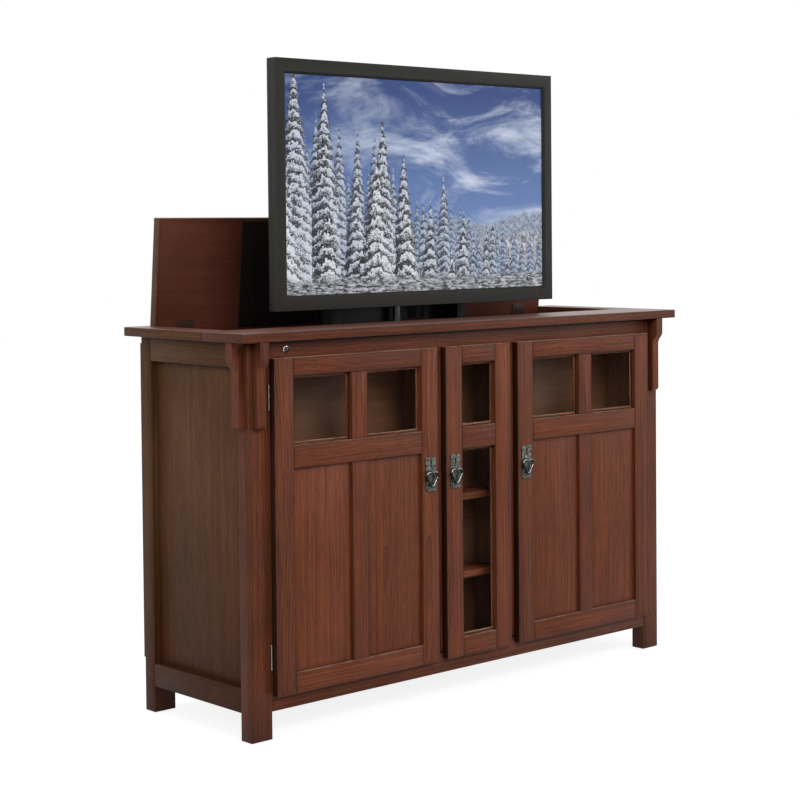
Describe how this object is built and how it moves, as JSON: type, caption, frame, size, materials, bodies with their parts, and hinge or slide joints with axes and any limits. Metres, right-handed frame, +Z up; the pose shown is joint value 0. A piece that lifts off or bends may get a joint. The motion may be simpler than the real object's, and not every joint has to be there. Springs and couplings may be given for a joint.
{
  "type": "tv lift cabinet",
  "caption": "Stained oak cabinet with glazed and panelled doors on the front and a hinged lid, out of which a powered two stage lift raises a flat television.",
  "frame": {"origin": "on the floor under the middle of the top", "axes": "+Z up, front towards -Y, +X to the right seen from the front; television raised, lid open, doors shut"},
  "size_m": [1.5, 0.475, 1.582],
  "materials": {
    "stained_oak": "satin lacquer over reddish brown stain",
    "inner_wood": "matt dark stain",
    "back_board": "matt dark board",
    "clear_glass": "clear",
    "hinge_steel": "satin",
    "dark_hinge": "dark bronze",
    "pewter": "hammered dark pewter",
    "black_steel": "satin black powder coat",
    "actuator_metal": "grey anodised",
    "rod_chrome": "polished",
    "black_rubber": "matt",
    "black_plastic": "matt",
    "eye_plastic": "glossy",
    "tv_plastic": "satin",
    "screen": "lit display behind a clear sheet"
  },
  "bodies": {
    "cabinet": {"top_front_board": "stained_oak", "top_side_boards": "stained_oak", "rear_rails": "stained_oak", "corner_posts": "stained_oak", "side_rails": "stained_oak", "side_panels": "stained_oak", "face_frame_rails": "stained_oak", "face_frame_stiles": "stained_oak", "corbels": "stained_oak", "bottom_boards": "inner_wood", "bulkhead_panel": "inner_wood", "compartment_dividers": "inner_wood", "storage_shelves": "inner_wood", "shelf_pins": "hinge_steel", "back_panel": "back_board", "back_panel_screws": "hinge_steel", "foot_glides": "black_rubber", "ir_eye": "eye_plastic", "screw_plugs": "stained_oak", "door_hinge_case_leaves": "hinge_steel", "door_hinge_pins": "hinge_steel", "door_catches": "black_plastic", "lid_hinge_rail_leaves": "dark_hinge", "lid_hinge_pins": "dark_hinge", "lift_outer_frame": "black_steel", "lift_actuator": "actuator_metal", "lift_control_box": "black_plastic"},
    "left_door": {"left_door_stiles": "stained_oak", "left_door_rails": "stained_oak", "left_door_panels": "stained_oak", "left_door_glass": "clear_glass", "left_door_hardware": "hinge_steel", "left_pull_plate": "pewter"},
    "left_bail": {"left_pull_bail": "pewter"},
    "centre_door": {"centre_door_stiles": "stained_oak", "centre_door_rails": "stained_oak", "centre_door_glass": "clear_glass", "centre_door_hardware": "hinge_steel", "centre_pull_plate": "pewter"},
    "centre_bail": {"centre_pull_bail": "pewter"},
    "right_door": {"right_door_stiles": "stained_oak", "right_door_rails": "stained_oak", "right_door_panels": "stained_oak", "right_door_glass": "clear_glass", "right_door_hardware": "hinge_steel", "right_pull_plate": "pewter"},
    "right_bail": {"right_pull_bail": "pewter"},
    "middle_stage": {"lift_middle_stage": "black_steel", "lift_actuator_rod": "rod_chrome", "lift_belt": "black_rubber"},
    "carriage": {"lift_carriage": "black_steel", "tv_mount_bracket": "black_steel", "tv_bezel": "tv_plastic", "tv_screen": "screen", "tv_back_cover": "tv_plastic"},
    "upper_pulley": {"upper_pulley": "black_plastic"},
    "lower_pulley": {"lower_pulley": "black_plastic"},
    "lid": {"lid_panel": "stained_oak", "lid_hinge_leaves": "dark_hinge", "lid_pad": "black_rubber"}
  },
  "joints": [
    {"name": "left_door_hinge", "type": "hinge", "parent": "cabinet", "child": "left_door", "pos_m": [-0.653, -0.2043, 0.49], "axis": [0, 0, 1], "range_deg": [-95, 0]},
    {"name": "left_bail_pivot", "type": "hinge", "parent": "left_door", "child": "left_bail", "pos_m": [-0.1685, -0.2308, 0.57375], "axis": [1, 0, 0], "range_deg": [-75, 0]},
    {"name": "centre_door_hinge", "type": "hinge", "parent": "cabinet", "child": "centre_door", "pos_m": [0.116, -0.2043, 0.49], "axis": [0, 0, 1], "range_deg": [0, 90]},
    {"name": "centre_bail_pivot", "type": "hinge", "parent": "centre_door", "child": "centre_bail", "pos_m": [-0.0855, -0.2308, 0.57375], "axis": [1, 0, 0], "range_deg": [-75, 0]},
    {"name": "right_door_hinge", "type": "hinge", "parent": "cabinet", "child": "right_door", "pos_m": [0.653, -0.2043, 0.49], "axis": [0, 0, 1], "range_deg": [0, 95]},
    {"name": "right_bail_pivot", "type": "hinge", "parent": "right_door", "child": "right_bail", "pos_m": [0.1685, -0.2308, 0.57375], "axis": [1, 0, 0], "range_deg": [-75, 0]},
    {"name": "stage_slide", "type": "slide", "parent": "cabinet", "child": "middle_stage", "axis": [0, 0, 1], "range_m": [-0.446, 0]},
    {"name": "carriage_slide", "type": "slide", "parent": "middle_stage", "child": "carriage", "axis": [0, 0, 1], "range_m": [-0.446, 0]},
    {"name": "lid_hinge", "type": "hinge", "parent": "cabinet", "child": "lid", "pos_m": [0, 0.212, 0.91475], "axis": [1, 0, 0], "range_deg": [0, 85]},
    {"name": "upper_pulley_spin", "type": "hinge", "parent": "middle_stage", "child": "upper_pulley", "pos_m": [0.05, 0.04, 1.15], "axis": [1, 0, 0], "range_deg": [0, 1695]},
    {"name": "lower_pulley_spin", "type": "hinge", "parent": "middle_stage", "child": "lower_pulley", "pos_m": [0.05, 0.04, 0.61], "axis": [1, 0, 0], "range_deg": [0, 1695]}
  ],
  "couplings": [
    {"joint": "carriage_slide", "follows": "stage_slide", "ratio": 1},
    {"joint": "lid_hinge", "follows": "stage_slide", "rad_per_m": -3.3263},
    {"joint": "upper_pulley_spin", "follows": "stage_slide", "rad_per_m": -66.225},
    {"joint": "lower_pulley_spin", "follows": "stage_slide", "rad_per_m": -66.225}
  ]
}
